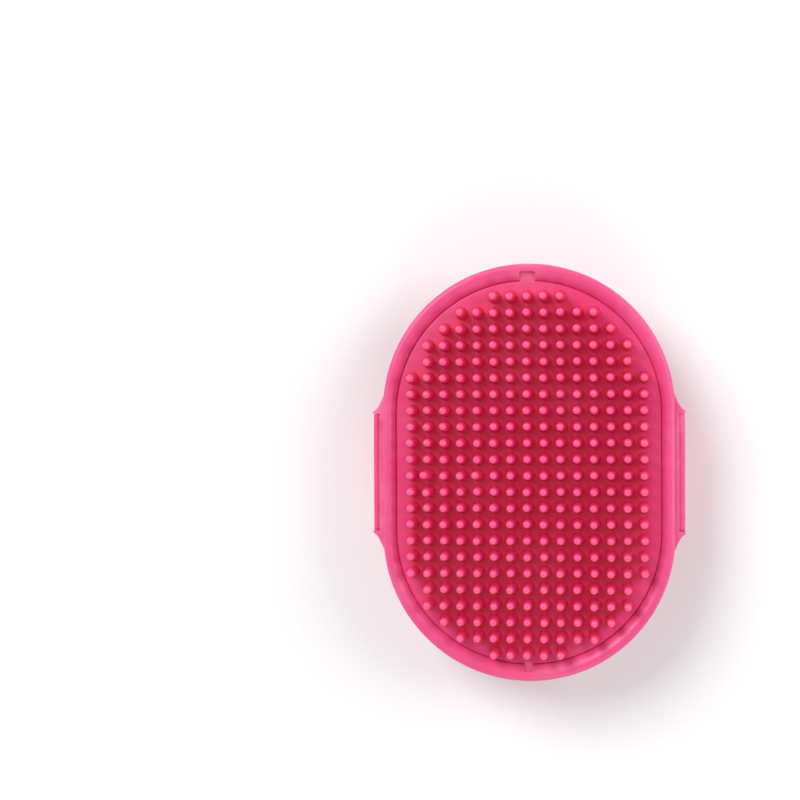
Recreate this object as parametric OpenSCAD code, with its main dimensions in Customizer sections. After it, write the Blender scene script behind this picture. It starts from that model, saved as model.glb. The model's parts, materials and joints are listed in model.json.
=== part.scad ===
// Rubber bristle brush for bathing and grooming a pet. An oval pad of short rubber nubs sits in
// a raised rim, and a two-piece strap buttons across the back of the hand.
// The brush lies on its strap with the nubs up. Z is zero at the lowest point of the stud heads,
// and the Z axis runs through the middle of the pad. Y runs along the pad, X across it.
// All lengths are in millimetres and all angles in degrees.

/* [Rim] */
// Width of the rim across its straight sides
rim_w = 89; // [80:1:100]
// Length of the rim over its round ends
rim_l = 127.5; // [118:0.5:140]
// Height of the rim from its back to the crest of the bead
rim_h = 5; // [4.6:0.1:6]
// Width of the rim along the straight sides
rim_side = 3.9; // [3.8:0.1:4.5]
// Width of the rim at the middle of each round end
rim_end = 5; // [4.6:0.1:6]
// Radius of the bead's rounded crest
bead_r = 1.5; // [1.2:0.05:1.8]
// Width of the ledge that carries the edge of the pad
ledge_w = 3; // [2:0.5:5]
// Thickness of that ledge
ledge_t = 1.2; // [0.8:0.1:1.6]

/* [Nub pad] */
// Thickness of the pad between the nubs
web_t = 3; // [2.4:0.1:3.4]
// Spacing of the nubs across the pad
nub_step_x = 5.05; // [4.6:0.01:5.4]
// Spacing of the nubs along the pad
nub_step_y = 4.94; // [4.6:0.01:5.4]
// Nubs lie within this distance of the line that joins the centres of the round ends
nub_reach = 37.3; // [34:0.1:38]
// How far the nubs as a whole lie towards the lower key
nub_shift = 0.7; // [0:0.1:1]
// Height of a nub above the pad
nub_h = 8; // [5:0.5:10]
// Diameter of a nub at its foot
nub_foot_d = 3.6; // [3:0.1:4]
// Diameter of a nub's round tip
nub_tip_d = 2; // [1.4:0.1:2.4]
// Width of the key at the pad's top end
top_key_w = 4.6; // [3:0.2:6]
// How far the top key reaches into the rim
top_key_l = 2.2; // [1.5:0.1:2.6]
// Width of the key at the pad's bottom end
low_key_w = 2.4; // [1.6:0.2:4]
// How far the bottom key reaches into the rim
low_key_l = 2; // [1.5:0.1:2.6]

/* [Shoulders and strap hinges] */
// Length of each shoulder where it leaves the rim
shoulder_root = 49; // [44:1:56]
// Length of each shoulder at its outer edge
shoulder_tip = 38; // [37.6:0.2:40]
// Thickness of the shoulders
shoulder_t = 2.8; // [2.4:0.1:3.2]
// Distance from the middle of the pad to each hinge line
hinge_x = 46.6; // [46.2:0.1:47.2]
// Radius of the round root of each strap
root_r = 1; // [0.8:0.05:1.1]
// Clearance round that root
root_gap = 0.08; // [0.04:0.01:0.1]
// Thickness of the strap's thin neck beside the hinge
neck_t = 1.2; // [0.8:0.1:1.4]

/* [Strap] */
// Width of the strap
strap_w = 32.5; // [30:0.5:34]
// Width of the strap at its hinge
strap_root_w = 35.8; // [34.5:0.1:35.8]
// Thickness of the strap
strap_t = 2.2; // [1.8:0.1:2.6]
// Room for the hand between the pad and the strap
hand_gap = 15; // [12:0.5:20]
// Angle of the strap's slopes on both sides of the hand
slope = 42; // [36:1:46]
// Radius of the tight fold beside the hinge
fold_r = 2.2; // [2:0.1:2.6]
// Radius of the bend between a slope and the flat middle
knee_r = 9; // [7:0.5:12]
// Length of the round-ended slope that lies over the other half
tip_slope = 10.3; // [9:0.1:11]
// Place of the stud half's square end, measured from the middle of the pad
stud_end_x = 3.4; // [2:0.2:6]
// Air between the two halves where they lie on each other
lap_gap = 0.3; // [0.2:0.05:0.5]

/* [Studs and holes] */
// Place of the stud nearer its hinge, measured from the middle of the pad
stud_x = 22.5; // [21:0.5:23]
// Spacing of the studs, and of the holes
hole_step = 12; // [11:0.5:12.5]
// Number of holes, with the second one on the stud nearer its hinge
holes = 5; // [4:1:6]
// Diameter of the holes
hole_d = 5.6; // [5:0.1:6]
// Diameter of the stud shanks
shank_d = 4.6; // [4:0.1:4.8]
// Radius of the round of each stud head
head_r = 4.5; // [4.2:0.1:5]
// Height of a stud head
head_h = 2.4; // [2:0.1:2.6]

/* [Hidden] */

head_flat = 0.25;             // how much of the head's round is cut flat at its lowest point
head_air = 0.2;               // air between a head and the strap
pad_air = 0.25;               // air between the pad's edge and the rim
stud_sink = 1.2;              // depth of a stud's foot in its strap
neck_drop = 1.5;              // straight part of the neck below the hinge
taper_l = 4;                  // stretch of the slope over which the neck thickens
bend_steps = 12;              // flats that make up each bend of the strap
lip_inset = 0.85;             // from the hinge line to the edge of the shoulder
rim_inner_h = web_t + 0.6;    // height of the rim where it meets the pad

end_y = (rim_l - rim_w) / 2;                          // centres of the round ends
inner_r = rim_w / 2 - rim_side;                       // half width inside the rim
inner_y = rim_l / 2 - rim_end - inner_r;              // round-end centres inside the rim

outer_z = head_h + head_air + strap_t / 2;            // mid thickness of the hole half's flat
inner_z = outer_z + strap_t + lap_gap;                // mid thickness of the stud half's flat
back_z = inner_z + strap_t / 2 + hand_gap;            // back of the pad and rim
web_z = back_z + web_t;                               // face that the nubs stand on
hinge_z = back_z + shoulder_t / 2;                    // hinge lines

fold_dx = fold_r * (1 - sin(slope));                  // how far the fold reaches inward
fold_dz = neck_drop + fold_r * cos(slope);            // how far the fold reaches down
knee_dx = knee_r * sin(slope);
knee_dz = knee_r * (1 - cos(slope));

// Length of a slope that ends in a flat at mid thickness z
function slope_len(z) = (hinge_z - fold_dz - knee_dz - z) / sin(slope);
// Place where that flat starts, measured from the middle of the pad
function flat_start(z) = hinge_x - fold_dx - slope_len(z) * cos(slope) - knee_dx;

lap_x = flat_start(inner_z);                          // both halves turn up from here
lap_r = knee_r + inner_z - outer_z;                   // the outer half's bend round the inner one
lap_arc = lap_r * slope * PI / 180;                   // length of that bend
tip_x = lap_x + lap_r * sin(slope) + tip_slope * cos(slope);

// Place on the hole half at distance s past the start of the bend: [x, z, turn]
function lap_point(s) =
    s < 0 ? [lap_x + s, outer_z, 0] :
    s < lap_arc ? let (a = s / lap_r * 180 / PI)
        [lap_x + lap_r * sin(a), outer_z + lap_r * (1 - cos(a)), a] :
    let (t = s - lap_arc)
        [lap_x + lap_r * sin(slope) + t * cos(slope),
         outer_z + lap_r * (1 - cos(slope)) + t * sin(slope), slope];

$fn = 96;

// Outline with straight sides and round ends, of radius r round the points at +y and -y
module oval(r, y) {
    translate([0, y]) circle(r);
    translate([0, -y]) circle(r);
    square([2 * r, 2 * y], center = true);
}

// Section of the rim, from its outer wall at x = 0 inward along +X
module rim_section() {
    square([rim_side, rim_h - bead_r]);
    translate([bead_r, rim_h - bead_r]) circle(bead_r);
    polygon([[bead_r, 0], [bead_r, rim_h], [bead_r + 0.4, rim_h - 0.06],
             [rim_side, rim_inner_h], [rim_side, 0]]);
}

module rim_bead() {
    for (s = [-1, 1]) {
        translate([0, s * end_y, back_z]) rotate([0, 0, s > 0 ? 0 : 180])
            rotate_extrude(angle = 180) translate([rim_w / 2, 0]) mirror([1, 0]) rim_section();
        rotate([0, 0, s > 0 ? 0 : 180]) translate([rim_w / 2, 0, back_z]) rotate([90, 0, 0])
            linear_extrude(2 * end_y, center = true) mirror([1, 0]) rim_section();
    }
}

// Slot through the rim's inner side for a key of the pad
module key_slot(w, reach, side) {
    y = rim_l / 2 - rim_end;
    translate([-w / 2, side > 0 ? y - 1 : -y - reach - pad_air, back_z + ledge_t])
        cube([w, reach + pad_air + 1, rim_h]);
}

module shoulder() {
    depth = root_r + root_gap + hinge_x;
    difference() {
        translate([0, 0, back_z]) linear_extrude(shoulder_t)
            polygon([[rim_w / 2 - 2, -shoulder_root / 2 - 2], [rim_w / 2, -shoulder_root / 2],
                     [depth, -shoulder_tip / 2], [depth, shoulder_tip / 2],
                     [rim_w / 2, shoulder_root / 2], [rim_w / 2 - 2, shoulder_root / 2 + 2]]);
        translate([hinge_x - lip_inset, -strap_root_w / 2 - 0.3, back_z - 1])
            cube([4, strap_root_w + 0.6, shoulder_t + 2]);
        translate([hinge_x, 0, hinge_z]) rotate([90, 0, 0])
            cylinder(r = root_r + root_gap, h = strap_root_w + 0.6, center = true);
    }
}

module rim_frame() {
    color("hotpink") difference() {
        union() {
            rim_bead();
            translate([0, 0, back_z]) linear_extrude(rim_inner_h) difference() {
                oval(rim_w / 2 - bead_r, end_y);
                oval(inner_r, inner_y);
            }
            translate([0, 0, back_z]) linear_extrude(ledge_t) difference() {
                oval(inner_r + 1, inner_y);
                oval(inner_r - ledge_w, inner_y);
            }
            shoulder();
            mirror([1, 0, 0]) shoulder();
        }
        key_slot(top_key_w + 2 * pad_air, top_key_l, 1);
        key_slot(low_key_w + 2 * pad_air, low_key_l, -1);
    }
}

// One nub, tapered to a round tip, with its foot on z = 0
module nub() {
    tip_r = nub_tip_d / 2;
    rotate_extrude($fn = 24) {
        polygon([[0, -0.5], [nub_foot_d / 2, -0.5], [nub_foot_d / 2, 0],
                 [tip_r, nub_h - tip_r], [0, nub_h - tip_r]]);
        translate([0, nub_h - tip_r]) intersection() {
            circle(tip_r);
            translate([0, -tip_r]) square(2 * tip_r);
        }
    }
}

// Key at an end of the pad, reaching from inside the pad into the rim
module key(w, reach, side) {
    y = rim_l / 2 - rim_end;
    translate([-w / 2, side > 0 ? y - 2 : -y - reach, back_z + ledge_t])
        cube([w, reach + 2, web_t - ledge_t]);
}

module bristle_pad() {
    columns = floor(nub_reach / nub_step_x);
    rows = floor((nub_reach + end_y) / nub_step_y);
    color("crimson") {
        translate([0, 0, back_z]) linear_extrude(web_t)
            oval(inner_r - ledge_w - pad_air, inner_y);
        translate([0, 0, back_z + ledge_t]) linear_extrude(web_t - ledge_t)
            oval(inner_r - pad_air, inner_y);
        key(top_key_w, top_key_l, 1);
        key(low_key_w, low_key_l, -1);
        for (j = [-rows:rows], i = [-columns:columns]) {
            beyond = max(0, abs(j) * nub_step_y - end_y);
            if (norm([i * nub_step_x, beyond]) < nub_reach)
                translate([i * nub_step_x, j * nub_step_y - nub_shift, web_z]) nub();
        }
    }
}

// Points on a round of radius r about c, from angle a0 to a1
function round_points(c, r, a0, a1) =
    [for (i = [0:bend_steps]) let (a = a0 + (a1 - a0) * i / bend_steps) c + r * [cos(a), sin(a)]];
function reversed(v) = [for (i = [len(v) - 1:-1:0]) v[i]];
function mirrored(v) = [for (p = v) [-p[0], p[1]]];

// Edge of a half that hangs from the hinge at +X, seen from the side, down to its flat.
// It is the edge away from the hand when k is 1, and the hand's edge when k is -1.
function half_edge(flat_z, k) =
    let (fold_c = [hinge_x - fold_r, hinge_z - neck_drop],
         thick = [hinge_x - fold_dx - taper_l * cos(slope), hinge_z - fold_dz - taper_l * sin(slope)],
         knee_c = [flat_start(flat_z), flat_z + knee_r])
    concat([[hinge_x + k * neck_t / 2, hinge_z]],
           round_points(fold_c, fold_r + k * neck_t / 2, 0, slope - 90),
           [thick + k * strap_t / 2 * [sin(slope), -cos(slope)]],
           round_points(knee_c, knee_r + k * strap_t / 2, slope - 90, -90));

// Edge of the hole half where it bends up round the other one, to its tip
function lap_edge(k) =
    let (tip = [tip_x, outer_z + lap_r * (1 - cos(slope)) + tip_slope * sin(slope)])
    concat(round_points([lap_x, inner_z + knee_r], lap_r + k * strap_t / 2, -90, slope - 90),
           [tip + k * strap_t / 2 * [sin(slope), -cos(slope)]]);

// Slab across the brush with the given outline seen from the side
module side_slab(points) {
    rotate([90, 0, 0]) linear_extrude(strap_root_w, center = true) polygon(points);
}

// Round root of a half, which turns in the shoulder on the given side
module strap_root(side) {
    translate([side * hinge_x, 0, hinge_z]) rotate([90, 0, 0])
        cylinder(r = root_r, h = strap_root_w, center = true);
}

// Outline of a strap half seen from above: wider at its hinge on the +X side
module strap_plan(end_x) {
    square_x = hinge_x + 3;
    taper_x = hinge_x - 5;
    linear_extrude(hinge_z + 10) polygon([[end_x, -strap_w / 2], [taper_x, -strap_w / 2],
             [hinge_x - 2, -strap_root_w / 2], [square_x, -strap_root_w / 2],
             [square_x, strap_root_w / 2], [hinge_x - 2, strap_root_w / 2],
             [taper_x, strap_w / 2], [end_x, strap_w / 2]]);
}

// Cylinder square to the hole half, at distance s past the start of its bend
module hole_at(s) {
    p = lap_point(s);
    translate([p[0], 0, p[1]]) rotate([0, -p[2], 0])
        cylinder(d = hole_d, h = 3 * strap_t, center = true);
}

module hole_strap() {
    round_r = strap_w / 2;
    color("deeppink") difference() {
        union() {
            intersection() {
                side_slab(concat(mirrored(half_edge(outer_z, 1)), lap_edge(1),
                                 reversed(lap_edge(-1)),
                                 reversed(mirrored(half_edge(outer_z, -1)))));
                union() {
                    mirror([1, 0, 0]) strap_plan(-tip_x + round_r);
                    translate([tip_x - round_r, 0]) cylinder(r = round_r, h = hinge_z);
                }
            }
            strap_root(-1);
        }
        for (n = [0:holes - 1]) hole_at(stud_x - lap_x + (1 - n) * hole_step);
    }
}

module stud_strap() {
    color("deeppink") difference() {
        union() {
            intersection() {
                side_slab(concat(half_edge(inner_z, 1), [[stud_end_x, inner_z - strap_t / 2]],
                                 [[stud_end_x, inner_z + strap_t / 2]],
                                 reversed(half_edge(inner_z, -1))));
                strap_plan(stud_end_x);
            }
            strap_root(1);
        }
        for (n = [0, 1]) translate([stud_x - n * hole_step, 0, inner_z - strap_t / 2 - 1])
            cylinder(d = shank_d, h = stud_sink + 1);
    }
}

// One stud: a domed head below, and a shank with its foot sunk in the stud half
module stud() {
    translate([0, 0, head_h / 2])
        cylinder(d = shank_d, h = inner_z - strap_t / 2 + stud_sink - head_h / 2);
    intersection() {
        translate([0, 0, head_r - head_flat]) sphere(head_r);
        cylinder(r = head_r, h = head_h);
    }
}

module strap_studs() {
    color("palevioletred")
        for (n = [0, 1]) translate([stud_x - n * hole_step, 0, 0]) stud();
}

rim_frame();
bristle_pad();
hole_strap();
stud_strap();
strap_studs();
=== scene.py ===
"""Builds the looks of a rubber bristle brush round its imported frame, laid out as a Blender add-on.

The brush lies on its strap with the nubs up. Everything is in metres, in the frame's own axes:
+Z out of the nub face, +Y along the pad, +X across it towards the hinge of the half with studs.
"""
import json
import math
import random

import bmesh
import bpy
from bpy.props import FloatProperty, FloatVectorProperty, IntProperty, PointerProperty
from mathutils import Matrix, Vector


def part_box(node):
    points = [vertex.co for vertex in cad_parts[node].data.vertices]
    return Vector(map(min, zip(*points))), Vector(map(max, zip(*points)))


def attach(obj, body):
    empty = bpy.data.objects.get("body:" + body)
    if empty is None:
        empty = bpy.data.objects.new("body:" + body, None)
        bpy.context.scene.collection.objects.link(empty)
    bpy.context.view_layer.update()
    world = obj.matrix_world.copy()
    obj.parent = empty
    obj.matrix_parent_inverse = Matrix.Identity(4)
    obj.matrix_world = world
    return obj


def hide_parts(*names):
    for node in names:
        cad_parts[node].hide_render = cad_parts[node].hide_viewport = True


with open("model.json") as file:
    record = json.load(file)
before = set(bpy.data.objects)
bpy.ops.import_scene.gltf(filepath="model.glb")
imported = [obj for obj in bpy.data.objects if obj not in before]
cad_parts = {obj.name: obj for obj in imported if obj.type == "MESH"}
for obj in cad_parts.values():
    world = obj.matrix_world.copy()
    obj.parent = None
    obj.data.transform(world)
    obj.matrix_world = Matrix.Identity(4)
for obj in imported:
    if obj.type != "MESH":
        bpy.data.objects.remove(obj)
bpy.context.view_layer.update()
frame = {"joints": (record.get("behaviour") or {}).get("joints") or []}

bl_info = {
    "name": "Rubber Bristle Brush",
    "version": (1, 0, 0),
    "blender": (4, 5, 0),
    "location": "View3D > Sidebar > Brush",
    "description": "Makes an oval rubber grooming brush with nubs and a buttoned hand strap",
    "category": "Add Mesh",
}

RIM_LO, RIM_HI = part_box("rim_frame")
PAD_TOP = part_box("bristle_pad")[1][2]
HOLE_LO, HOLE_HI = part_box("hole_strap")
STUD_LO, STUD_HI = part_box("stud_strap")
HEADS_LO, HEADS_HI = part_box("strap_studs")
HINGES = {j["child"]: Vector(j["pos_m"]) for j in frame["joints"]}
BACK_Z = RIM_LO[2]

LEDGE_TOP = 0.0012       # height of the rim's ledge above the back
SEAM_LAP = 0.00002       # how far the pad reaches into the rim, so that no light shows between
FOLD_END = 0.0036        # distance from a hinge to just past the strap's tight fold
FOLD_STEP = 0.0004       # spacing of the strap's columns in that fold
ROOT_R = 0.001           # radius of the strap's round roots
SAME_PLACE = 1e-7        # points nearer than this are one point


# ---------------------------------------------------------------- settings

def length(name, description, default, least=0.0):
    """A size property whose default is given in metres."""
    return FloatProperty(name=name, description=description, default=default, min=least,
                         unit="LENGTH", precision=5)


def signed_length(name, description, default):
    """A size property that may also be negative, for a place or a lean along an axis."""
    return length(name, description, default, least=-10.0)


def colour(name, description, default):
    """A colour property with its alpha."""
    return FloatVectorProperty(name=name, description=description, default=default, size=4,
                               subtype="COLOR", min=0.0, max=1.0)


class RimSettings(bpy.types.PropertyGroup):
    """Sizes of the rim, its key slots and its shoulders"""
    width: length("Width", "Across the rim's straight sides", 0.089)
    side: length("Side width", "Width of the rim along its straight sides", 0.0039)
    end: length("End width", "Width of the rim at the middle of its round ends", 0.005)
    crest: length("Crest", "From the outer wall to the crest of the bead", 0.0015)
    height: length("Height", "From the back to the crest", 0.005)
    ledge: length("Ledge", "Width of the ledge under the pad's edge", 0.003)
    top_slot: length("Top slot", "Width of the slot at the rim's top end", 0.0047)
    low_slot: length("Bottom slot", "Width of the slot at the rim's bottom end", 0.0025)
    shoulder_root: length("Shoulder root", "Length of a shoulder where it meets the rim", 0.049)


class PadSettings(bpy.types.PropertyGroup):
    """Sizes of the pad and of the nubs on it"""
    thickness: length("Thickness", "Thickness of the pad between the nubs", 0.003)
    edge: length("Edge", "Rounding of the pad's upper edge, which makes the seam line", 0.0008)
    step_x: length("Nub step across", "Spacing of the nubs across the pad", 0.00505)
    step_y: length("Nub step along", "Spacing of the nubs along the pad", 0.00494)
    shift: length("Nub shift", "How far the nubs lie towards the lower end", 0.0007)
    reach: length("Nub reach", "Nubs lie this near to the pad's middle line", 0.0373)
    foot: length("Nub foot", "Diameter of a nub at its foot", 0.0036)
    tip: length("Nub tip", "Diameter of a nub's round tip", 0.0022)
    lean: length("Nub lean", "How far a nub's tip may lie off where the others lean", 0.00014)
    lean_x: signed_length("Lean across", "Lean that all the nubs share, along X", -0.0003)
    lean_y: signed_length("Lean along", "Lean that all the nubs share, along Y", -0.0001)
    seed: IntProperty(name="Seed", description="Seed of the nubs' small leans", default=7)


class StrapSettings(bpy.types.PropertyGroup):
    """Sizes of the two strap halves, their holes and studs"""
    width: length("Width", "Width of the strap", 0.0325)
    thickness: length("Thickness", "Thickness of the strap", 0.0022)
    neck: length("Neck", "Thickness of the neck beside a hinge", 0.0012)
    edge: length("Edge", "Radius of the strap's rounded edges", 0.0005)
    fold: length("Fold", "Radius of the fold beside a hinge", 0.0022)
    knee: length("Knee", "Radius of the bend between slope and flat", 0.009)
    slope: FloatProperty(name="Slope", description="Angle of the slopes beside the hand",
                         default=math.radians(42), subtype="ANGLE")
    tip_slope: length("Tip slope", "Length of the slope at the round tip", 0.0103)
    hole: length("Hole", "Diameter of the holes", 0.0056)
    step: length("Hole step", "Spacing of the holes and the studs", 0.012)
    holes: IntProperty(name="Holes", description="Number of holes", default=5, min=2)


class RubberSettings(bpy.types.PropertyGroup):
    """Colours of the rubber"""
    rim: colour("Rim", "Colour of the rim and its shoulders", (0.8, 0.068, 0.24, 1.0))
    # painted shade: the pad's tone is darker and deeper than the rim's, standing for the shade that
    # falls between the nubs
    pad: colour("Pad", "Colour of the pad and the nubs", (0.76, 0.024, 0.12, 1.0))
    # painted shade, less deep: the pad's tone beyond the field of nubs
    border: colour("Border", "Colour of the pad outside the nubs", (0.76, 0.042, 0.185, 1.0))
    # painted highlight: the nubs' tips are given this lighter colour, which stands for the light
    # they catch
    nub_tip_highlight: colour("Nub tips", "Colour of the nubs' highlighted tips", (0.92, 0.085, 0.25, 1.0))
    strap: colour("Strap", "Colour of the strap and the studs", (0.84, 0.05, 0.2, 1.0))
    bloom: colour("Bloom", "Colour of the pale bloom on the rubber", (0.93, 0.34, 0.52, 1.0))


class StageSettings(bpy.types.PropertyGroup):
    """Where the camera stands, what it takes in, and the floor's colour"""
    distance: length("Distance", "From the camera to the crest of the rim", 0.55)
    frame_width: length("Frame width", "Width that the picture takes in", 0.244)
    over_x: signed_length("Over across", "Place of the camera along X", 0.02)
    over_y: signed_length("Over along", "Place of the camera along Y", 0.025)
    across: signed_length("Across", "Place of the picture's middle along X", -0.03905)
    along: signed_length("Along", "Place of the picture's middle along Y", 0.02225)
    roll: FloatProperty(name="Roll", description="Turn of the camera about its own axis",
                        default=math.radians(0.22), subtype="ANGLE")
    floor: colour("Floor", "Colour of the floor", (0.92, 0.92, 0.93, 1.0))


class BrushSettings(bpy.types.PropertyGroup):
    """All the settings of the brush, as the scene keeps them"""
    rim: PointerProperty(type=RimSettings)
    pad: PointerProperty(type=PadSettings)
    strap: PointerProperty(type=StrapSettings)
    rubber: PointerProperty(type=RubberSettings)
    stage: PointerProperty(type=StageSettings)


# ---------------------------------------------------------------- materials

def node(tree, kind, links=(), **values):
    """A node with its settings, and its inputs set or linked by name."""
    made = tree.nodes.new(kind)
    for name, value in values.items():
        setattr(made, name, value)
    for name, value in dict(links).items():
        if isinstance(value, bpy.types.NodeSocket):
            tree.links.new(value, made.inputs[name])
        else:
            made.inputs[name].default_value = value
    return made


def new_group(name, inputs, outputs):
    """An empty shader node group with named sockets, and its two end nodes."""
    group = bpy.data.node_groups.new(name, "ShaderNodeTree")
    for label, kind, value in inputs:
        socket = group.interface.new_socket(name=label, in_out="INPUT", socket_type=kind)
        socket.default_value = value
    for label, kind in outputs:
        group.interface.new_socket(name=label, in_out="OUTPUT", socket_type=kind)
    return group, group.nodes.new("NodeGroupInput"), group.nodes.new("NodeGroupOutput")


def mix_colours(tree, share, first, second):
    """Colour socket that goes from the first colour to the second as the share grows."""
    mixed = node(tree, "ShaderNodeMix", data_type="RGBA")
    for index, socket in ((0, share), (6, first), (7, second)):
        tree.links.new(socket, mixed.inputs[index])
    return mixed.outputs[2]


def grain_group():
    """Height of the fine skin that moulded rubber has, with soft sink marks under it."""
    group, ins, outs = new_group(
        "Rubber grain",
        [("Grain", "NodeSocketFloat", 9000.0), ("Ripple", "NodeSocketFloat", 160.0),
         ("Ripple depth", "NodeSocketFloat", 0.4)],
        [("Height", "NodeSocketFloat")])
    place = node(group, "ShaderNodeTexCoord").outputs["Object"]
    fine = node(group, "ShaderNodeTexNoise", {"Vector": place, "Scale": ins.outputs["Grain"],
                                             "Detail": 3.0, "Roughness": 0.6})
    ripple = node(group, "ShaderNodeTexNoise", {"Vector": place, "Scale": ins.outputs["Ripple"],
                                               "Detail": 2.0, "Roughness": 0.45})
    deep = node(group, "ShaderNodeMath", {0: ripple.outputs["Fac"],
                                         1: ins.outputs["Ripple depth"]}, operation="MULTIPLY")
    both = node(group, "ShaderNodeMath", {0: fine.outputs["Fac"], 1: deep.outputs[0]},
                operation="ADD")
    group.links.new(both.outputs[0], outs.inputs["Height"])
    return group


def bloom_group():
    """Colour and roughness of rubber with patches of pale bloom, and paler convex edges that are
    part wear, part painted sheen.
    """
    group, ins, outs = new_group(
        "Rubber bloom",
        [("Rubber", "NodeSocketColor", (0.8, 0.03, 0.13, 1.0)),
         ("Bloom", "NodeSocketColor", (0.9, 0.35, 0.5, 1.0)),
         ("Amount", "NodeSocketFloat", 0.12), ("Edge", "NodeSocketFloat", 0.3),
         ("Roughness", "NodeSocketFloat", 0.42)],
        [("Color", "NodeSocketColor"), ("Roughness", "NodeSocketFloat")])
    place = node(group, "ShaderNodeTexCoord").outputs["Object"]
    cloud = node(group, "ShaderNodeTexNoise", {"Vector": place, "Scale": 55.0, "Detail": 5.0,
                                              "Roughness": 0.62})
    patch = node(group, "ShaderNodeMapRange", {"Value": cloud.outputs["Fac"], "From Min": 0.42,
                                              "From Max": 0.72, "To Max": 1.0})
    dusty = node(group, "ShaderNodeMath", {0: patch.outputs["Result"], 1: ins.outputs["Amount"]},
                 operation="MULTIPLY")
    # paler convex edges: part wear, part painted sheen on the rounded edges
    sharp = node(group, "ShaderNodeNewGeometry").outputs["Pointiness"]
    edges = node(group, "ShaderNodeMapRange", {"Value": sharp, "From Min": 0.52,
                                              "From Max": 0.62, "To Max": 1.0})
    wear_and_sheen = node(group, "ShaderNodeMath", {0: edges.outputs["Result"], 1: ins.outputs["Edge"]},
                operation="MULTIPLY")
    total = node(group, "ShaderNodeMath", {0: dusty.outputs[0], 1: wear_and_sheen.outputs[0]},
                 operation="ADD", use_clamp=True)
    mixed = mix_colours(group, total.outputs[0], ins.outputs["Rubber"], ins.outputs["Bloom"])
    speck = node(group, "ShaderNodeTexNoise", {"Vector": place, "Scale": 420.0, "Detail": 4.0})
    mottled = node(group, "ShaderNodeMath", {0: speck.outputs["Fac"], 1: 0.16, 2: -0.08},
                   operation="MULTIPLY_ADD")
    hazed = node(group, "ShaderNodeMath", {0: total.outputs[0], 1: 0.35, 2: mottled.outputs[0]},
                 operation="MULTIPLY_ADD")
    rough = node(group, "ShaderNodeMath", {0: hazed.outputs[0], 1: ins.outputs["Roughness"]},
                 operation="ADD", use_clamp=True)
    group.links.new(mixed, outs.inputs["Color"])
    group.links.new(rough.outputs[0], outs.inputs["Roughness"])
    return group


def height_light_shade_group():
    """Colour that goes from one tint low on a shape to another high on it; on the nubs it paints
    shade at the feet and a highlight at the tips.
    """
    group, ins, outs = new_group(
        "Height light and shade",
        [("Low", "NodeSocketColor", (0.7, 0.02, 0.08, 1.0)),
         ("High", "NodeSocketColor", (0.9, 0.1, 0.25, 1.0)),
         ("From", "NodeSocketFloat", 0.026), ("To", "NodeSocketFloat", 0.033)],
        [("Color", "NodeSocketColor")])
    place = node(group, "ShaderNodeTexCoord").outputs["Object"]
    level = node(group, "ShaderNodeSeparateXYZ", {"Vector": place}).outputs["Z"]
    share = node(group, "ShaderNodeMapRange", {"Value": level, "From Min": ins.outputs["From"],
                                              "From Max": ins.outputs["To"]},
                 interpolation_type="SMOOTHSTEP")
    mixed = mix_colours(group, share.outputs["Result"], ins.outputs["Low"],
                        ins.outputs["High"])
    group.links.new(mixed, outs.inputs["Color"])
    return group


def nub_field_shade_group():
    """Colour that changes beyond a distance from the middle line of an oval along Y; on the pad it
    paints shade among the nubs, lighter outside them.
    """
    group, ins, outs = new_group(
        "Nub field shade",
        [("Inside", "NodeSocketColor", (0.7, 0.02, 0.08, 1.0)),
         ("Outside", "NodeSocketColor", (0.8, 0.05, 0.2, 1.0)),
         ("Line end", "NodeSocketFloat", 0.019), ("Reach", "NodeSocketFloat", 0.038)],
        [("Color", "NodeSocketColor")])
    place = node(group, "ShaderNodeTexCoord").outputs["Object"]
    split = node(group, "ShaderNodeSeparateXYZ", {"Vector": place})
    along = node(group, "ShaderNodeMath", {0: split.outputs["Y"]}, operation="ABSOLUTE")
    past = node(group, "ShaderNodeMath", {0: along.outputs[0], 1: ins.outputs["Line end"]},
                operation="SUBTRACT")
    beyond = node(group, "ShaderNodeMath", {0: past.outputs[0], 1: 0.0}, operation="MAXIMUM")
    flat = node(group, "ShaderNodeCombineXYZ", {"X": split.outputs["X"], "Y": beyond.outputs[0]})
    far = node(group, "ShaderNodeVectorMath", {0: flat.outputs[0]}, operation="LENGTH")
    over = node(group, "ShaderNodeMath", {0: far.outputs["Value"], 1: ins.outputs["Reach"]},
                operation="SUBTRACT")
    share = node(group, "ShaderNodeMapRange", {"Value": over.outputs[0], "From Min": -0.003,
                                              "From Max": 0.001},
                 interpolation_type="SMOOTHSTEP")
    mixed = mix_colours(group, share.outputs["Result"], ins.outputs["Inside"],
                        ins.outputs["Outside"])
    group.links.new(mixed, outs.inputs["Color"])
    return group


def effect(name, build):
    """The node group of that name, built the first time it is asked for."""
    return bpy.data.node_groups.get(name) or build()


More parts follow.
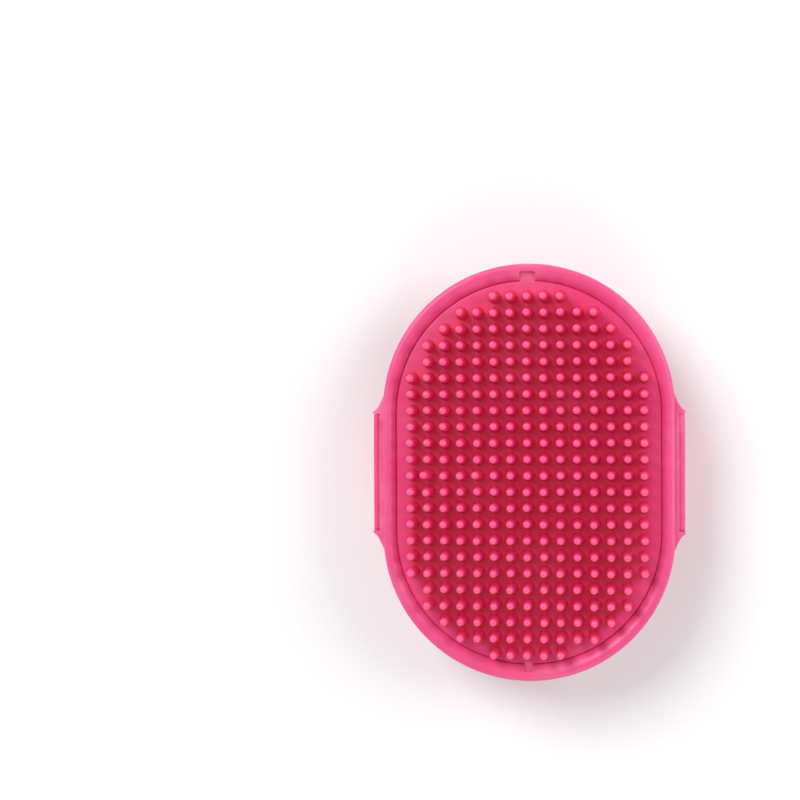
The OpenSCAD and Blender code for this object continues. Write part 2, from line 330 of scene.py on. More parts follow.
def rubber(name, tone, bloom, amount, edge, roughness, ripple, bump):
    """Soft moulded rubber, slightly translucent, with grain, bloom, and paler edges that are part
    wear, part painted sheen.
    """
    material = bpy.data.materials.new(name)
    material.use_nodes = True
    tree = material.node_tree
    shader = tree.nodes["Principled BSDF"]
    skin = node(tree, "ShaderNodeGroup", node_tree=effect("Rubber bloom", bloom_group))
    for socket, value in (("Rubber", tone), ("Bloom", bloom), ("Amount", amount),
                          ("Edge", edge), ("Roughness", roughness)):
        skin.inputs[socket].default_value = value
    grain = node(tree, "ShaderNodeGroup", node_tree=effect("Rubber grain", grain_group))
    grain.inputs["Ripple"].default_value = ripple
    bumped = node(tree, "ShaderNodeBump", {"Height": grain.outputs["Height"],
                                          "Strength": bump, "Distance": 0.0001})
    tree.links.new(skin.outputs["Color"], shader.inputs["Base Color"])
    tree.links.new(skin.outputs["Roughness"], shader.inputs["Roughness"])
    tree.links.new(bumped.outputs["Normal"], shader.inputs["Normal"])
    shader.inputs["IOR"].default_value = 1.5
    shader.inputs["Subsurface Weight"].default_value = 0.06
    shader.inputs["Subsurface Radius"].default_value = (1.0, 0.12, 0.25)
    shader.inputs["Subsurface Scale"].default_value = 0.0016
    return material


# ---------------------------------------------------------------- mesh helpers

def mesh_of(bm, name):
    """The bmesh's shape as a mesh; the bmesh is freed."""
    mesh = bpy.data.meshes.new(name)
    bm.to_mesh(mesh)
    bm.free()
    return mesh


def add_object(name, data):
    """An object with that data, linked to the scene."""
    made = bpy.data.objects.new(name, data)
    bpy.context.scene.collection.objects.link(made)
    return made


def crease(mesh, smooth):
    """Smooth shading, with creases where faces meet at more than the angle, in degrees."""
    mesh.shade_smooth()
    mesh.set_sharp_from_angle(angle=math.radians(smooth))


def finish_piece(bm, name, material, body, replaces=(), smooth=45.0, subdivide=0,
                 extra=()):
    """Turns a bmesh into a piece that rides on a body; extra holds its further materials."""
    bmesh.ops.remove_doubles(bm, verts=bm.verts, dist=1e-6)
    bmesh.ops.recalc_face_normals(bm, faces=bm.faces)
    mesh = mesh_of(bm, name)
    for each in (material, *extra):
        mesh.materials.append(each)
    crease(mesh, smooth)
    piece = add_object(name, mesh)
    if subdivide:
        rounded = piece.modifiers.new("Rounding", "SUBSURF")
        rounded.levels = subdivide
        rounded.render_levels = subdivide
    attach(piece, body)
    if replaces:
        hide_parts(*replaces)
    return piece


def bevel(bm, edges, offset, segments):
    """Rounds the edges by an offset, with that many segments to each."""
    bmesh.ops.bevel(bm, geom=edges, offset=offset, offset_type="OFFSET", segments=segments,
                    profile=0.5, affect="EDGES", material=-1, clamp_overlap=True)


def sharp_edges(bm, least=50.0):
    """Edges where two faces meet at more than the given angle, in degrees."""
    return [e for e in bm.edges if e.is_manifold and e.calc_face_angle(0) > math.radians(least)]


def edges_of(verts):
    """Every edge that ends at one of the points."""
    return {e for v in verts for e in v.link_edges}


def drawn_out(bm, face, vec):
    """Extrudes a face by a vector, and keeps the first face, so that the solid is closed."""
    made = bmesh.ops.extrude_face_region(bm, geom=[face], use_keep_orig=True)["geom"]
    bmesh.ops.translate(bm, vec=vec, verts=[g for g in made if isinstance(g, bmesh.types.BMVert)])


def section_loop(bm, points):
    """Closed loop of edges through the points."""
    verts = [bm.verts.new(p) for p in points]
    return verts + [bm.edges.new((a, b)) for a, b in zip(verts, verts[1:] + verts[:1])]


def revolve(bm, points, steps, centre=(0, 0, 0)):
    """Spins an open line of points full round the centre's Z axis, and joins the seam and poles."""
    verts = [bm.verts.new(p) for p in points]
    line = verts + [bm.edges.new(pair) for pair in zip(verts, verts[1:])]
    bmesh.ops.spin(bm, geom=line, cent=centre, axis=(0, 0, 1), angle=math.tau, steps=steps,
                   use_merge=True, use_duplicate=False)
    bmesh.ops.remove_doubles(bm, verts=bm.verts, dist=SAME_PLACE)


def cut_away(piece, cutter_bm, name):
    """Cuts a bmesh's shape out of a piece and keeps the result as its mesh."""
    bmesh.ops.recalc_face_normals(cutter_bm, faces=cutter_bm.faces)
    cutter = add_object(name, mesh_of(cutter_bm, name))
    cut = piece.modifiers.new("Cut", "BOOLEAN")
    cut.operation = "DIFFERENCE"
    cut.solver = "EXACT"
    cut.object = cutter
    graph = bpy.context.evaluated_depsgraph_get()
    result = bpy.data.meshes.new_from_object(piece.evaluated_get(graph))
    piece.modifiers.remove(cut)
    piece.data = result
    bpy.data.objects.remove(cutter)
    return result


def box(bm, lo, hi):
    """Points of a new closed box between two corners."""
    lo, hi = Vector(lo), Vector(hi)
    made = bmesh.ops.create_cube(bm, size=1.0)["verts"]
    bmesh.ops.scale(bm, vec=hi - lo, verts=made)
    bmesh.ops.translate(bm, vec=(lo + hi) / 2, verts=made)
    return made


# ---------------------------------------------------------------- rim

def rim_section(rim, pad):
    """The rim's section as (distance in from the outer wall, height above the back)."""
    r, top = rim.crest, rim.height
    foot = 0.0004
    wall = [(foot, 0.0), (foot * 0.3, foot * 0.3), (0.0, foot), (0.0, top * 0.35)]
    bead_steps = 7
    bead = [(r - r * math.cos(a), top - r + r * math.sin(a))
            for a in (math.pi / 2 * i / bead_steps for i in range(bead_steps + 1))]
    lip = pad.thickness + 0.00045
    fall_steps = 6
    fall = [(r + (rim.side - r) * t * 0.91, top - (top - lip) * t ** 1.9)
            for t in (i / fall_steps for i in range(1, fall_steps + 1))]
    edge = [(rim.side - 0.0001, lip - 0.0002), (rim.side, lip - 0.00055)]
    end, corner = rim.side + rim.ledge, 0.0002
    ledge = [(rim.side, LEDGE_TOP), (end - corner, LEDGE_TOP), (end, LEDGE_TOP - corner),
             (end, corner), (end - corner, 0.0)]
    return wall + bead + fall + edge + ledge


def key_slots(rim):
    """Width, depth into the rim and end (1 or -1 along Y) of the two key slots."""
    return (rim.top_slot, 0.0026, 1), (rim.low_slot, 0.0021, -1)


def make_rim(settings):
    """The raised rim: a quarter spun round an end, run on to the middle, and mirrored."""
    rim, pad = settings.rim, settings.pad
    half_w, half_l = rim.width / 2, RIM_HI[1]
    end_y = half_l - half_w
    shift = rim.end - rim.side
    section = rim_section(rim, pad)
    bm = bmesh.new()
    loop = section_loop(bm, [(half_w - u, end_y, BACK_Z + z) for u, z in section])
    bmesh.ops.spin(bm, geom=loop, cent=(0, end_y, 0), axis=(0, 0, 1), angle=math.pi / 2,
                   steps=30)
    # the rim grows wider towards the middle of its end
    for v in bm.verts:
        u = half_w - math.hypot(v.co.x, v.co.y - end_y)
        inward = min(1.0, max(0.0, (u - rim.crest) / (rim.side - rim.crest)))
        v.co.y -= shift * inward
    first = [e for e in bm.edges if e.is_boundary and all(v.co.x > half_w * 0.7 for v in e.verts)]
    run = bmesh.ops.extrude_edge_only(bm, edges=first)["geom"]
    for v in (g for g in run if isinstance(g, bmesh.types.BMVert)):
        v.co.y = 0.0
    for axis in ("X", "Y"):
        bmesh.ops.mirror(bm, geom=bm.verts[:] + bm.edges[:] + bm.faces[:], axis=axis,
                         merge_dist=1e-6)
    piece = finish_piece(bm, "rim", settings_rubber(settings, "rim"), "pad_body",
                         replaces=("rim_frame",), smooth=40)
    cut_key_slots(piece, settings)


def cut_key_slots(piece, settings):
    """Cuts the slots for the pad's keys through the rim's inner side."""
    rim, pad = settings.rim, settings.pad
    inner = RIM_HI[1] - rim.end
    floor = BACK_Z + pad.thickness - 0.0006
    past_seam = 0.002
    bm = bmesh.new()
    for width, reach, side in key_slots(rim):
        ends = sorted((side * (inner - past_seam), side * (inner + reach)))
        made = box(bm, (-width / 2, ends[0], floor), (width / 2, ends[1], floor + rim.height))
        upright = [e for e in edges_of(made)
                   if abs(e.verts[0].co.z - e.verts[1].co.z) > rim.height / 2]
        bevel(bm, upright, 0.0004, 3)
    crease(cut_away(piece, bm, "key_slots"), 40)


def shoulder_outline(rim, hinge_barrel):
    """Outline of the right shoulder from above: flanks that sweep from the rim to its tip."""
    root_x, tip_x = rim.width / 2 - 0.0008, RIM_HI[0] - 0.0004
    root_y, tip_y = rim.shoulder_root / 2 + 0.0012, hinge_barrel + 0.0011
    steps = 6
    flank = [(root_x + (tip_x - root_x) * t, root_y - (root_y - tip_y) * (1 - (1 - t) ** 1.5))
             for t in (i / steps for i in range(steps + 1))]
    half = ([(rim.width / 2 - 0.0025, rim.shoulder_root / 2 + 0.001)] + flank
            + [(RIM_HI[0], tip_y - 0.0003)])
    return half + [(x, -y) for x, y in reversed(half)]


def make_shoulders(settings):
    """The two shoulders that carry the strap's hinges, each with a groove for its round root."""
    rim = settings.rim
    hinge = HINGES["stud_half"]
    barrel = (HOLE_HI[1] - HOLE_LO[1]) / 2
    back_gap = 0.00005       # keeps the shoulder's back from lying in the rim's own
    bm = bmesh.new()
    face = bm.faces.new([bm.verts.new((x, y, BACK_Z + back_gap))
                         for x, y in shoulder_outline(rim, barrel)])
    drawn_out(bm, face, (0, 0, 2 * (hinge.z - BACK_Z) - back_gap))
    bmesh.ops.recalc_face_normals(bm, faces=bm.faces)
    level = [e for e in sharp_edges(bm) if abs(e.verts[0].co.z - e.verts[1].co.z) < 1e-6
             and min(v.co.x for v in e.verts) > rim.width / 2 - 0.001]
    bevel(bm, level, 0.0005, 3)
    blank = add_object("shoulder_blank", mesh_of(bm, "shoulder_blank"))
    # the room that the strap's neck swings through, under a slanted lip
    span = barrel + 0.00006
    lip, inner, outer = hinge.x - 0.0007, hinge.x - 0.0018, hinge.x + 0.004
    low, high = BACK_Z - 0.002, BACK_Z + 0.008
    gap = bmesh.new()
    side_view = [(lip, low), (lip, hinge.z + 0.00085), (inner, hinge.z + 0.00155),
                 (inner, high), (outer, high), (outer, low)]
    drawn_out(gap, gap.faces.new([gap.verts.new((x, -span, z)) for x, z in side_view]),
              (0, 2 * span, 0))
    cut_away(blank, gap, "hinge_gap")
    groove = bmesh.new()
    groove_r = ROOT_R + 0.00003
    turned = Matrix.Translation(hinge) @ Matrix.Rotation(math.pi / 2, 4, "X")
    bmesh.ops.create_cone(groove, cap_ends=True, segments=40, radius1=groove_r,
                          radius2=groove_r, depth=2 * span, matrix=turned)
    bm = bmesh.new()
    bm.from_mesh(cut_away(blank, groove, "hinge_groove"))
    bpy.data.objects.remove(blank)
    bmesh.ops.mirror(bm, geom=bm.verts[:] + bm.edges[:] + bm.faces[:], axis="X",
                     merge_dist=SAME_PLACE)
    finish_piece(bm, "shoulders", settings_rubber(settings, "shoulder"), "pad_body",
                 smooth=35)


# ---------------------------------------------------------------- pad and nubs

def make_web(settings):
    """The pad that the nubs stand on: a circle pulled out to an oval, with a stepped back."""
    rim, pad = settings.rim, settings.pad
    outer_r = rim.width / 2 - rim.side + SEAM_LAP
    half_y = RIM_HI[1] - rim.end + SEAM_LAP - outer_r
    bm = bmesh.new()
    for radius, z0, z1 in ((outer_r - rim.ledge, 0.0, LEDGE_TOP),
                           (outer_r, LEDGE_TOP, pad.thickness)):
        ring = bmesh.ops.create_circle(bm, cap_ends=True, segments=180, radius=radius,
                                       matrix=Matrix.Rotation(math.radians(1), 4, "Z"))["verts"]
        for v in ring:
            v.co.y += math.copysign(half_y, v.co.y)
            v.co.z = BACK_Z + z0
        face = next(f for f in bm.faces if all(v in f.verts for v in ring[:3]))
        drawn_out(bm, face, (0, 0, z1 - z0))
    bmesh.ops.recalc_face_normals(bm, faces=bm.faces)
    upper = [e for e in sharp_edges(bm)
             if all(abs(v.co.z - BACK_Z - pad.thickness) < 1e-6 for v in e.verts)]
    bevel(bm, upper, pad.edge, 4)
    # each key's top rises outwards, and its sides bite a little into its slot
    plain = set(bm.faces)
    inner = RIM_HI[1] - rim.end
    key_foot, key_root, key_rise = LEDGE_TOP + 0.0001, 0.0009, 0.34
    for width, depth, side in key_slots(rim):
        reach = depth + SEAM_LAP / 2
        ends = sorted((side * (inner - key_root), side * (inner + reach)))
        made = box(bm, (-(width + SEAM_LAP) / 2, ends[0], BACK_Z + key_foot),
                   ((width + SEAM_LAP) / 2, ends[1], BACK_Z + pad.thickness - SEAM_LAP))
        for v in made:
            if v.co.z > BACK_Z + pad.thickness / 2 and abs(v.co.y) > inner:
                v.co.z += key_rise * reach
    for face in set(bm.faces) - plain:
        face.material_index = 1
    finish_piece(bm, "pad_web", settings_rubber(settings, "pad"), "pad_body",
                 replaces=("bristle_pad",), smooth=35,
                 extra=(settings_rubber(settings, "rim"),))


def nub_profile(pad, height):
    """Radius and height along a nub, from its filleted foot to its round tip."""
    foot, tip = pad.foot / 2, pad.tip / 2
    cap_h = tip * 0.75
    side_top = height - cap_h
    side = [(foot + 0.0003, -0.0001), (foot + 0.00006, 0.0002), (foot - 0.0001, 0.0007),
            (foot + (tip - foot) * 0.5, side_top * 0.55), (tip, side_top)]
    cap = [(tip * math.cos(a) ** 0.85, side_top + cap_h * math.sin(a))
           for a in (math.radians(28), math.radians(56), math.radians(90))]
    return side + cap


def bent_nubs():
    """Nubs that stand bent over, as {(column, row): (lean along X, lean along Y)}."""
    return {(-6, 0): (-0.0011, 0.0002), (-6, -1): (-0.0003, -0.0004),
            (-3, 0): (-0.0005, 0.0001)}


def make_nubs(settings):
    """All the nubs as one piece: one spun nub, copied, each with its own small lean."""
    pad, rim = settings.pad, settings.rim
    height = PAD_TOP - BACK_Z - pad.thickness
    one = bmesh.new()
    line = [(r, 0, z) for r, z in nub_profile(pad, height)]
    line[-1] = (0, 0, height)
    revolve(one, line, 12)
    shape = mesh_of(one, "nub")
    chance = random.Random(pad.seed)
    end_y = RIM_HI[1] - rim.width / 2
    columns = int(pad.reach / pad.step_x)
    rows = int((pad.reach + end_y) / pad.step_y)
    bent = bent_nubs()
    bm = bmesh.new()
    for j in range(-rows, rows + 1):
        for i in range(-columns, columns + 1):
            x, y = i * pad.step_x, j * pad.step_y
            if math.hypot(x, max(0.0, abs(y) - end_y)) >= pad.reach:
                continue
            count = len(bm.verts)
            bm.from_mesh(shape)
            bm.verts.ensure_lookup_table()
            lean = Vector(bent.get((i, j), (0, 0))) + Vector(
                (pad.lean_x + chance.uniform(-pad.lean, pad.lean),
                 pad.lean_y + chance.uniform(-pad.lean, pad.lean)))
            spin = chance.uniform(0, math.tau)
            for v in bm.verts[count:]:
                t = max(0.0, v.co.z / height)
                turned = Matrix.Rotation(spin, 3, "Z") @ v.co
                sink = lean.length ** 2 / height * 0.5 * t
                v.co = Vector((x + turned.x + lean.x * t ** 1.5,
                               y - pad.shift + turned.y + lean.y * t ** 1.5,
                               BACK_Z + pad.thickness + v.co.z - sink))
    finish_piece(bm, "nubs", settings_rubber(settings, "nub"), "pad_body",
                 smooth=80)


# ---------------------------------------------------------------- strap

class StrapPath:
    """Middle line of a strap half seen from the side: straights and bends that all turn inward.

    It starts at the hinge, heading down, as for the half that hangs at +X.
    """

    def __init__(self, hinge, parts):
        self.hinge = hinge
        self.parts = parts

    def at(self, s):
        """Place and inward normal at distance s, as (x, z, normal x, normal z)."""
        x, z, heading = self.hinge.x, self.hinge.z, -math.pi / 2
        left = s
        last = len(self.parts) - 1
        for index, (run, radius) in enumerate(self.parts):
            step = left if index == last else min(left, run)
            if radius:
                turn = step / radius
                x += radius * (math.sin(heading) - math.sin(heading - turn))
                z += radius * (math.cos(heading - turn) - math.cos(heading))
                heading -= turn
            else:
                x += step * math.cos(heading)
                z += step * math.sin(heading)
            left -= step
        return x, z, math.sin(heading), -math.cos(heading)


def half_path(settings, body, flat_z, end_x):
    """A half's hinge, its straights and bends to the flat's end, and where the flat starts."""
    strap = settings.strap
    hinge = HINGES[body].copy()
    hinge.x = abs(hinge.x)
    slope = strap.slope
    neck_drop = 0.0015
    drop = (hinge.z - neck_drop - strap.fold * math.cos(slope)
            - strap.knee * (1 - math.cos(slope)) - flat_z)
    slope_run = drop / math.sin(slope)
    flat_x = (hinge.x - strap.fold * (1 - math.sin(slope)) - slope_run * math.cos(slope)
              - strap.knee * math.sin(slope))
    parts = [(neck_drop, None), (strap.fold * (math.pi / 2 - slope), strap.fold),
             (slope_run, None), (strap.knee * slope, strap.knee), (flat_x - end_x, None)]
    return hinge, parts, flat_x


def strap_sheet(bm, stations, width_at, round_r):
    """Flat sheet of quads whose columns lie at the stations and whose last stretch is round.

    width_at gives the width at a station, and round_r is the tip's radius, or 0 for square.
    """
    across = 16
    columns = len(stations) - 1
    made = bmesh.ops.create_grid(bm, x_segments=columns, y_segments=across, size=0.5)["verts"]
    round_start = stations[-1] - round_r
    for v in made:
        s = stations[round((v.co.x + 0.5) * columns)]
        side = v.co.y * 2
        half = width_at(s) / 2
        if round_r and s > round_start:
            u = (s - round_start) / round_r
            v.co = Vector((round_start + round_r * u * math.sqrt(1 - side * side / 2),
                           half * side * math.sqrt(1 - u * u / 2), 0))
        else:
            v.co = Vector((s, half * side, 0))


def punch(bm, s, radius, reach):
    """Opens a round hole: joins the quads round it, insets the face they make, and rounds that."""
    near = [f for f in bm.faces
            if max(abs(f.calc_center_median().x - s), abs(f.calc_center_median().y)) < reach]
    face = bmesh.ops.dissolve_faces(bm, faces=near)["region"][0]
    step = math.tau / len(face.verts)
    bmesh.ops.inset_individual(bm, faces=[face], thickness=0.0001, use_even_offset=True)
    for v in face.verts:
        angle = round(math.atan2(v.co.y, v.co.x - s) / step) * step
        v.co = Vector((s + radius * math.cos(angle), radius * math.sin(angle), 0))
    bmesh.ops.delete(bm, geom=[face], context="FACES_ONLY")


def bend_strap(bm, path, strap, side):
    """Bends the flat strap along its path, thins its neck, and mirrors it for the -X half."""
    for v in bm.verts:
        s, y, t = v.co
        thin = strap.neck / strap.thickness
        t *= thin + (1 - thin) * ease(s, 0.0033, 0.004)
        x, z, nx, nz = path.at(s)
        v.co = Vector((side * (x + nx * t), y, z + nz * t))


def strap_solid(bm, strap):
    """Gives the flat sheet its thickness and its rounded edges."""
    bmesh.ops.remove_doubles(bm, verts=bm.verts, dist=SAME_PLACE)
    bmesh.ops.recalc_face_normals(bm, faces=bm.faces)
    bmesh.ops.solidify(bm, geom=bm.faces[:], thickness=strap.thickness)
    middle = sum(v.co.z for v in bm.verts) / len(bm.verts)
    bmesh.ops.translate(bm, vec=(0, 0, -middle), verts=bm.verts)
    bmesh.ops.recalc_face_normals(bm, faces=bm.faces)
    bevel(bm, sharp_edges(bm, 60), strap.edge, 3)


def add_root(bm, hinge, side, length_y):
    """The round root that turns in the shoulder's groove, in the strap's second material."""
    before = set(bm.faces)
    turned = Matrix.Translation((side * hinge.x, 0, hinge.z)) @ Matrix.Rotation(math.pi / 2, 4, "X")
    made = bmesh.ops.create_cone(bm, cap_ends=True, segments=32, radius1=ROOT_R, radius2=ROOT_R,
                                 depth=length_y, matrix=turned)["verts"]
    rims = [e for e in edges_of(made) if abs(e.verts[0].co.y - e.verts[1].co.y) < SAME_PLACE]
    bevel(bm, rims, 0.0002, 2)
    for face in set(bm.faces) - before:
        face.material_index = 1


def ease(s, start, run):
    """Goes smoothly from 0 at the start to 1 when the run has passed."""
    t = min(1.0, max(0.0, (s - start) / run))
    return t * t * (3 - 2 * t)


def strap_width(strap, root_width):
    """The function that gives a half's width at distance s from its hinge."""
    return lambda s: root_width + (strap.width - root_width) * ease(s, 0.0025, 0.006)


def even_stations(start, stop, step):
    """Evenly spaced distances from start to stop, about a step apart."""
    count = max(1, round((stop - start) / step))
    return [start + (stop - start) * i / count for i in range(count + 1)]


def make_hole_strap(settings):
    """The outer half: holes along its middle, and a round end that laps the other half."""
    strap = settings.strap
    flat_z = HOLE_LO[2] + strap.thickness / 2
    other_z = STUD_LO[2] + strap.thickness / 2
    _, _, lap_x = half_path(settings, "stud_half", other_z, 0.0)
    hinge, parts, _ = half_path(settings, "hole_half", flat_z, -lap_x)
    lap_r = strap.knee + other_z - flat_z
    parts += [(lap_r * strap.slope, lap_r), (strap.tip_slope, None)]
    total = sum(run for run, _ in parts)
    studs_x = HEADS_HI[0] - (HEADS_HI[1] - HEADS_LO[1]) / 2
    on_stud = sum(run for run, _ in parts[:-2]) - (lap_x - studs_x)
    first = on_stud + strap.step
    stops = [first - n * strap.step for n in range(strap.holes)]
    # the columns lie evenly about every hole between the second and the third of these places
    cell = strap.step / 6
    fences = (FOLD_END, stops[-1] - 3 * cell, first + 2 * cell, total)
    stations = even_stations(0.0, FOLD_END, FOLD_STEP)
    for start, stop in zip(fences, fences[1:]):
        stations += even_stations(start, stop, cell)[1:]
    root_width = HOLE_HI[1] - HOLE_LO[1]
    bm = bmesh.new()
    strap_sheet(bm, stations, strap_width(strap, root_width), strap.width / 2)
    for s in stops:
        punch(bm, s, strap.hole / 2, 2 * cell)
    strap_solid(bm, strap)
    # the small nib that the mould leaves at the tip
    box(bm, (total - 0.0006, -0.0004, -0.0004), (total + 0.0005, 0.0004, 0.0003))
    bend_strap(bm, StrapPath(hinge, parts), strap, -1)
    add_root(bm, hinge, -1, root_width)
    finish_piece(bm, "strap_with_holes", settings_rubber(settings, "strap"), "hole_half",
                 replaces=("hole_strap",), smooth=45, subdivide=1,
                 extra=(settings_rubber(settings, "strap"),))


def make_stud_strap(settings):
    """The inner half, square-ended, that carries the studs."""
    strap = settings.strap
    flat_z = STUD_LO[2] + strap.thickness / 2
    hinge, parts, _ = half_path(settings, "stud_half", flat_z, STUD_LO[0])
    total = sum(run for run, _ in parts)
    stations = (even_stations(0.0, FOLD_END, FOLD_STEP)
                + even_stations(FOLD_END, total, strap.step / 6)[1:])
    root_width = STUD_HI[1] - STUD_LO[1]
    bm = bmesh.new()
    strap_sheet(bm, stations, strap_width(strap, root_width), 0.0)
    strap_solid(bm, strap)
    bend_strap(bm, StrapPath(hinge, parts), strap, 1)
    add_root(bm, hinge, 1, root_width)
    finish_piece(bm, "strap_with_studs", settings_rubber(settings, "strap"), "stud_half",
                 replaces=("stud_strap",), smooth=45, subdivide=1,
                 extra=(settings_rubber(settings, "shoulder"),))


def make_studs(settings):
    """The two mushroom studs, each spun from its outline."""
    strap = settings.strap
    head_r = (HEADS_HI[1] - HEADS_LO[1]) / 2
    head_h = 0.0024
    shank_r = 0.0023
    foot_z = STUD_LO[2] + 0.0002
    dome_steps = 9
    dome = [(head_r * math.sin(a), head_h * 0.86 * (1 - math.cos(a)) ** 1.15)
            for a in (math.pi / 2 * i / dome_steps for i in range(dome_steps + 1))]
    outline = (dome + [(head_r, head_h * 0.93), (head_r - 0.0003, head_h - 0.00002),
                       (shank_r + 0.0004, head_h), (shank_r, head_h + 0.0003),
                       (shank_r, foot_z - 0.0003), (shank_r + 0.0002, foot_z)])
    bm = bmesh.new()
    for x in (HEADS_HI[0] - head_r, HEADS_HI[0] - head_r - strap.step):
        revolve(bm, [(x + r, 0, z) for r, z in outline], 40, centre=(x, 0, 0))
    rims = [e for e in bm.edges if e.is_boundary]
    bmesh.ops.holes_fill(bm, edges=rims, sides=0)
    finish_piece(bm, "studs", settings_rubber(settings, "stud"), "stud_half",
                 replaces=("strap_studs",), smooth=50)


# ---------------------------------------------------------------- finishes and stage

def tint_rubber(material, name, build, values):
    """Puts a tint group before a rubber's colour."""
    tree = material.node_tree
    skin = next(n for n in tree.nodes if n.inputs.get("Rubber"))
    made = node(tree, "ShaderNodeGroup", node_tree=effect(name, build))
    for socket, value in values.items():
        made.inputs[socket].default_value = value
    tree.links.new(made.outputs["Color"], skin.inputs["Rubber"])


def settings_rubber(settings, part):
    """The rubber of a part, made the first time it is asked for."""
    tints = settings.rubber
    bloom = tuple(tints.bloom)
    # name, colour, bloom, paler edges (part wear, part painted sheen), roughness, scale of the
    # ripple, strength of the bump
    recipes = {
        "rim": ("Rim rubber", tints.rim, 0.14, 0.10, 0.38, 90.0, 0.08),
        "shoulder": ("Shoulder rubber", tints.rim, 0.55, 0.12, 0.42, 120.0, 0.10),
        "pad": ("Pad rubber", tints.pad, 0.08, 0.05, 0.40, 190.0, 0.14),
        "nub": ("Nub rubber", tints.pad, 0.06, 0.04, 0.33, 260.0, 0.08),
        "strap": ("Strap rubber", tints.strap, 0.10, 0.22, 0.46, 120.0, 0.16),
        "stud": ("Stud rubber", tints.strap, 0.12, 0.12, 0.42, 200.0, 0.10),
    }
    name, tone, amount, edge, roughness, ripple, bump = recipes[part]
    if name in bpy.data.materials:
        return bpy.data.materials[name]
    material = rubber(name, tuple(tone), bloom, amount, edge, roughness, ripple, bump)
    # painted light and shade: each nub goes from the pad's darker tone at its foot, painted shade
    # between the nubs, to the lighter tip colour, a painted highlight
    if part == "nub":
        tint_rubber(material, "Height light and shade", height_light_shade_group,
                    {"Low": tuple(tone), "High": tuple(tints.nub_tip_highlight),
                     "From": PAD_TOP - 0.0028, "To": PAD_TOP - 0.0008})
    # painted shade: the pad is darker inside the field of nubs than in its border outside them
    if part == "pad":
        tint_rubber(material, "Nub field shade", nub_field_shade_group,
                    {"Inside": tuple(tone), "Outside": tuple(tints.border),
                     "Line end": RIM_HI[1] - settings.rim.width / 2,
                     "Reach": settings.pad.reach})
    return material


def floor_finish(tone):
    """Plain pale floor with a very soft mottle."""
    material = bpy.data.materials.new("Pale floor")
    material.use_nodes = True
    tree = material.node_tree
    shader = tree.nodes["Principled BSDF"]
    place = node(tree, "ShaderNodeTexCoord").outputs["Object"]
    cloud = node(tree, "ShaderNodeTexNoise", {"Vector": place, "Scale": 6.0, "Detail": 2.0})
    rough = node(tree, "ShaderNodeMapRange", {"Value": cloud.outputs["Fac"], "To Min": 0.55,
                                             "To Max": 0.7})
    tree.links.new(rough.outputs["Result"], shader.inputs["Roughness"])
    shader.inputs["Base Color"].default_value = tone
    return material


def add_light(name, place, aim, size, power):
    """A round softbox at a place, turned to face the aim."""
    data = bpy.data.lights.new(name, "AREA")
    data.shape = "DISK"
    data.size = size
    data.energy = power
    light = add_object(name, data)
    light.location = place
    light.rotation_euler = (Vector(aim) - Vector(place)).to_track_quat("-Z", "Y").to_euler()


def add_camera(stage):
    """Camera over the middle of the brush, aimed past it as the picture is framed."""
    rim_top = Vector((0, 0, RIM_HI[2]))
    place = rim_top + Vector((stage.over_x, stage.over_y, stage.distance))
    aim = rim_top + Vector((stage.across, stage.along, 0))
    back = (place - aim).normalized()
    up = Vector((math.sin(stage.roll), math.cos(stage.roll), 0))
    right = up.cross(back).normalized()
    data = bpy.data.cameras.new("camera")
    data.sensor_width = 36
    data.lens = data.sensor_width * stage.distance / stage.frame_width
    data.clip_start = 0.01
    camera = add_object("camera", data)
    camera.matrix_world = Matrix.Translation(place) @ Matrix(
        (right, back.cross(right), back)).transposed().to_4x4()
    bpy.context.scene.camera = camera


def make_stage(settings):
    """A wide floor, a sky that is darker overhead, three softboxes and the camera."""
    stage = settings.stage
    bm = bmesh.new()
    bmesh.ops.create_grid(bm, x_segments=4, y_segments=4, size=12.0)
    floor = add_object("floor", mesh_of(bm, "floor"))
    floor.data.materials.append(floor_finish(tuple(stage.floor)))
    world = bpy.data.worlds.new("studio")
    world.use_nodes = True
    tree = world.node_tree
    up = node(tree, "ShaderNodeSeparateXYZ",
              {"Vector": node(tree, "ShaderNodeTexCoord").outputs["Generated"]})
    glow = node(tree, "ShaderNodeMapRange", {"Value": up.outputs["Z"], "From Min": 0.15,
                                            "From Max": 0.95, "To Min": 0.8, "To Max": 0.22})
    sky = tree.nodes["Background"]
    sky.inputs["Color"].default_value = (1.0, 1.0, 1.0, 1.0)
    tree.links.new(glow.outputs["Result"], sky.inputs["Strength"])
    bpy.context.scene.world = world
    bpy.context.scene.view_settings.view_transform = "Standard"
    for name, place, power in (("key softbox", (-1.05, 1.05, 1.55), 28.0),
                               ("side softbox", (1.5, 0.5, 1.25), 15.0),
                               ("front softbox", (0.25, -1.6, 1.25), 9.0)):
        add_light(name, place, (0, 0, RIM_HI[2]), 1.25, power)
    add_camera(stage)


# ---------------------------------------------------------------- operators and panel

class BRUSH_OT_rim(bpy.types.Operator):
    """Make the rim and its shoulders"""
    bl_idname = "brush.rim"
    bl_label = "Rim"

    def execute(self, context):
        make_rim(context.scene.brush)
        make_shoulders(context.scene.brush)
        return {"FINISHED"}


class BRUSH_OT_pad(bpy.types.Operator):
    """Make the pad between the nubs"""
    bl_idname = "brush.pad"
    bl_label = "Pad"

    def execute(self, context):
        make_web(context.scene.brush)
        return {"FINISHED"}


class BRUSH_OT_nubs(bpy.types.Operator):
    """Make the nubs"""
    bl_idname = "brush.nubs"
    bl_label = "Nubs"

    def execute(self, context):
        make_nubs(context.scene.brush)
        return {"FINISHED"}


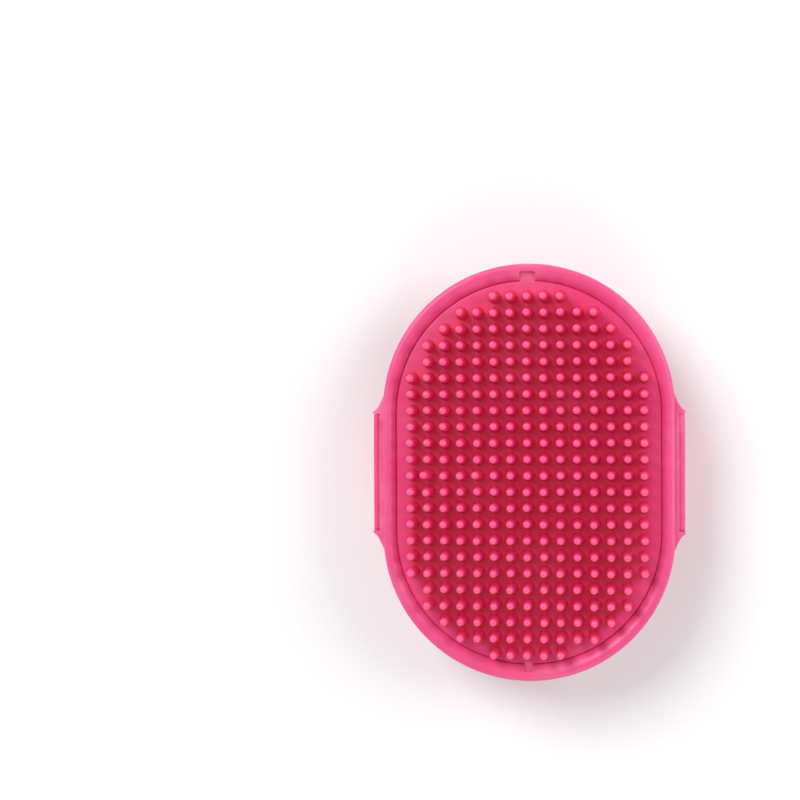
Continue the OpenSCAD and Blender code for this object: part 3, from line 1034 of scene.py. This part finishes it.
class BRUSH_OT_strap(bpy.types.Operator):
    """Make both halves of the strap"""
    bl_idname = "brush.strap"
    bl_label = "Strap"

    def execute(self, context):
        make_hole_strap(context.scene.brush)
        make_stud_strap(context.scene.brush)
        return {"FINISHED"}


class BRUSH_OT_studs(bpy.types.Operator):
    """Make the strap's studs"""
    bl_idname = "brush.studs"
    bl_label = "Studs"

    def execute(self, context):
        make_studs(context.scene.brush)
        return {"FINISHED"}


class BRUSH_OT_stage(bpy.types.Operator):
    """Make the floor, the lights and the camera"""
    bl_idname = "brush.stage"
    bl_label = "Stage"

    def execute(self, context):
        make_stage(context.scene.brush)
        return {"FINISHED"}


OPERATORS = (BRUSH_OT_rim, BRUSH_OT_pad, BRUSH_OT_nubs, BRUSH_OT_strap, BRUSH_OT_studs,
             BRUSH_OT_stage)


class BRUSH_PT_maker(bpy.types.Panel):
    """The brush's pieces, in the order they are made"""
    bl_idname = "BRUSH_PT_maker"
    bl_label = "Bristle Brush"
    bl_space_type = "VIEW_3D"
    bl_region_type = "UI"
    bl_category = "Brush"

    def draw(self, context):
        for operator in OPERATORS:
            self.layout.operator(operator.bl_idname)
        for group in ("rim", "pad", "strap", "rubber", "stage"):
            box_layout = self.layout.box()
            box_layout.label(text=group.title())
            settings = getattr(context.scene.brush, group)
            for name in settings.bl_rna.properties.keys():
                if name not in ("rna_type", "name"):
                    box_layout.prop(settings, name)


CLASSES = (RimSettings, PadSettings, StrapSettings, RubberSettings, StageSettings,
           BrushSettings) + OPERATORS + (BRUSH_PT_maker,)


def register():
    """Registers the classes and hangs the settings on the scene."""
    for cls in CLASSES:
        bpy.utils.register_class(cls)
    bpy.types.Scene.brush = PointerProperty(type=BrushSettings)


def unregister():
    """Takes the settings and the classes away again."""
    del bpy.types.Scene.brush
    for cls in reversed(CLASSES):
        bpy.utils.unregister_class(cls)


def main():
    """Makes every piece in order."""
    register()
    for operator in OPERATORS:
        group, name = operator.bl_idname.split(".")
        getattr(getattr(bpy.ops, group), name)()


if __name__ == "__main__":
    main()
